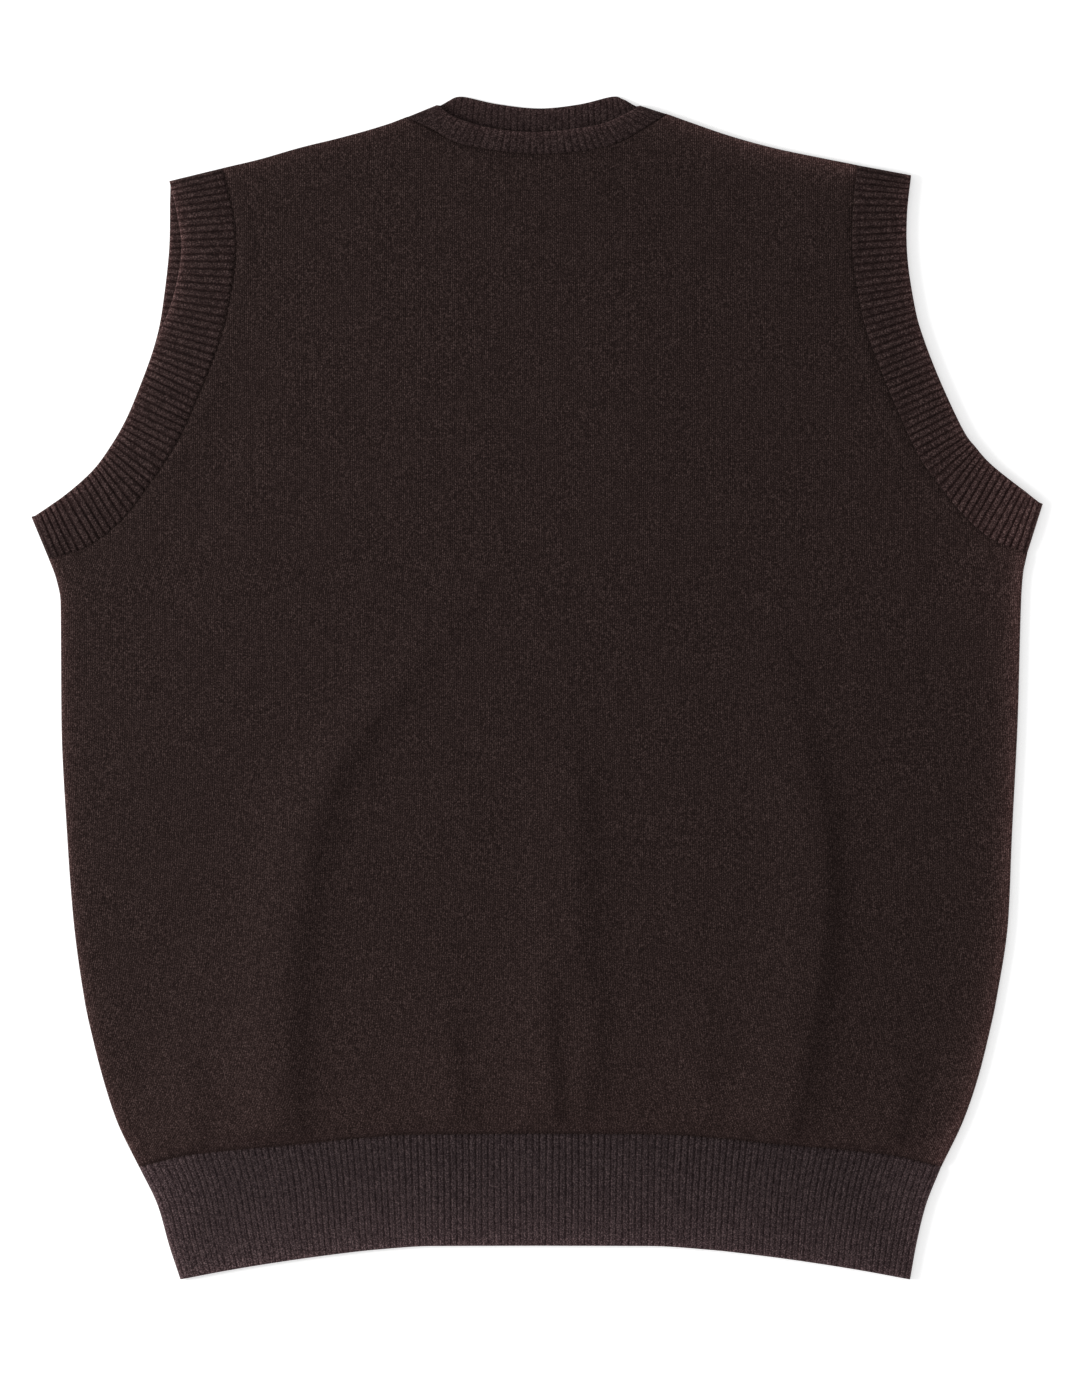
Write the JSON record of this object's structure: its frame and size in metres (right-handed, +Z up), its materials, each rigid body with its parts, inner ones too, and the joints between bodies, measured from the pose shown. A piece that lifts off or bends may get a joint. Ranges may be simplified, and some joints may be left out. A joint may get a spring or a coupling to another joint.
{
  "type": "knitted sweater vest",
  "caption": "Sleeveless knitted pullover laid flat with its front up: round neck, ribbed armbands and a deep ribbed hem that draws the body in.",
  "frame": {"origin": "middle of the garment's outline, on the surface that it lies on", "axes": "+Z up, away from the surface; +Y from the hem towards the neck; +X to the right as seen from above"},
  "size_m": [0.5862, 0.6858, 0.0143],
  "materials": {
    "body_jersey": "matte dark brown melange wool, plain knit",
    "rib_knit": "matte dark brown melange wool, one and one rib"
  },
  "bodies": {
    "root": {"back_panel": "body_jersey", "front_panel": "body_jersey", "back_hem_rib": "rib_knit", "front_hem_rib": "rib_knit", "left_armband": "rib_knit", "right_armband": "rib_knit", "neckband": "rib_knit"}
  },
  "joints": []
}
